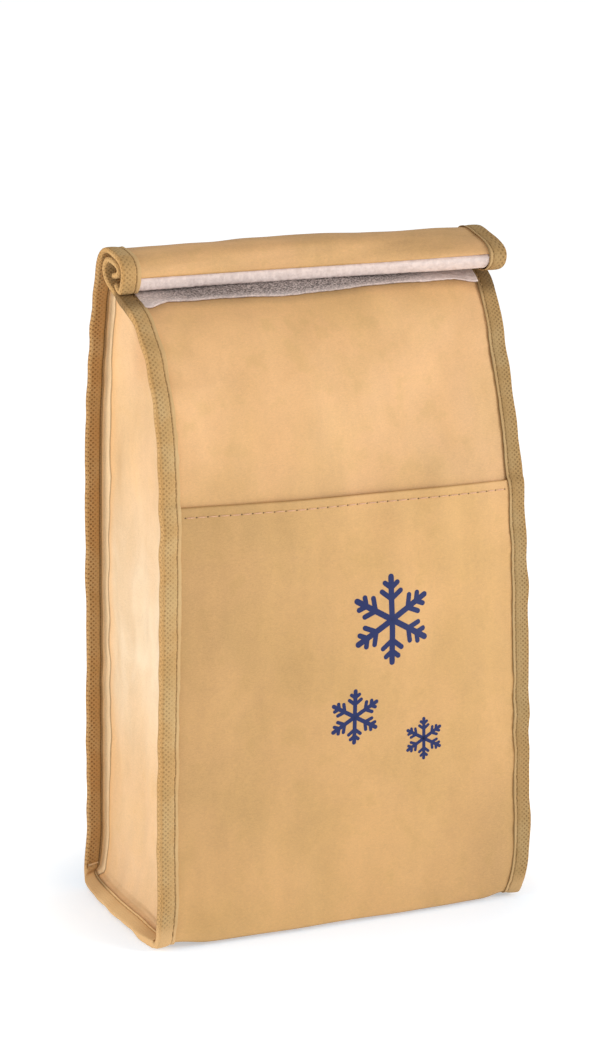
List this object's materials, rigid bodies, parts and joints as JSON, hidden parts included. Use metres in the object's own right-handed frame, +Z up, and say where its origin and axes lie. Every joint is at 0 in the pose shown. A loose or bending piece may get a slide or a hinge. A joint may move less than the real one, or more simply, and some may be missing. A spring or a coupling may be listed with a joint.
{
  "type": "lunch bag",
  "caption": "Roll-top lunch bag of kraft paper laminate with gusset sides, bound side seams and a front pocket, standing closed.",
  "frame": {"origin": "on the floor under the middle of the bag's box", "axes": "+X to the bag's right seen from the front, the pocket side faces -Y, +Z up"},
  "size_m": [0.2022, 0.1082, 0.3298],
  "materials": {
    "kraft_paper": "matt kraft paper laminate, softly creased",
    "side_kraft_paper": "matt kraft paper laminate, softly creased",
    "pocket_kraft_paper": "matt kraft paper",
    "binding_tape": "embossed non-woven tape",
    "fastener_strip": "pale brushed loop pile"
  },
  "bodies": {
    "root": {"body_panel": "kraft_paper", "gusset_left": "side_kraft_paper", "gusset_right": "side_kraft_paper", "pocket_panel": "pocket_kraft_paper", "binding_left": "binding_tape", "binding_right": "binding_tape", "flap_strip": "fastener_strip", "front_strip": "fastener_strip"}
  },
  "joints": []
}
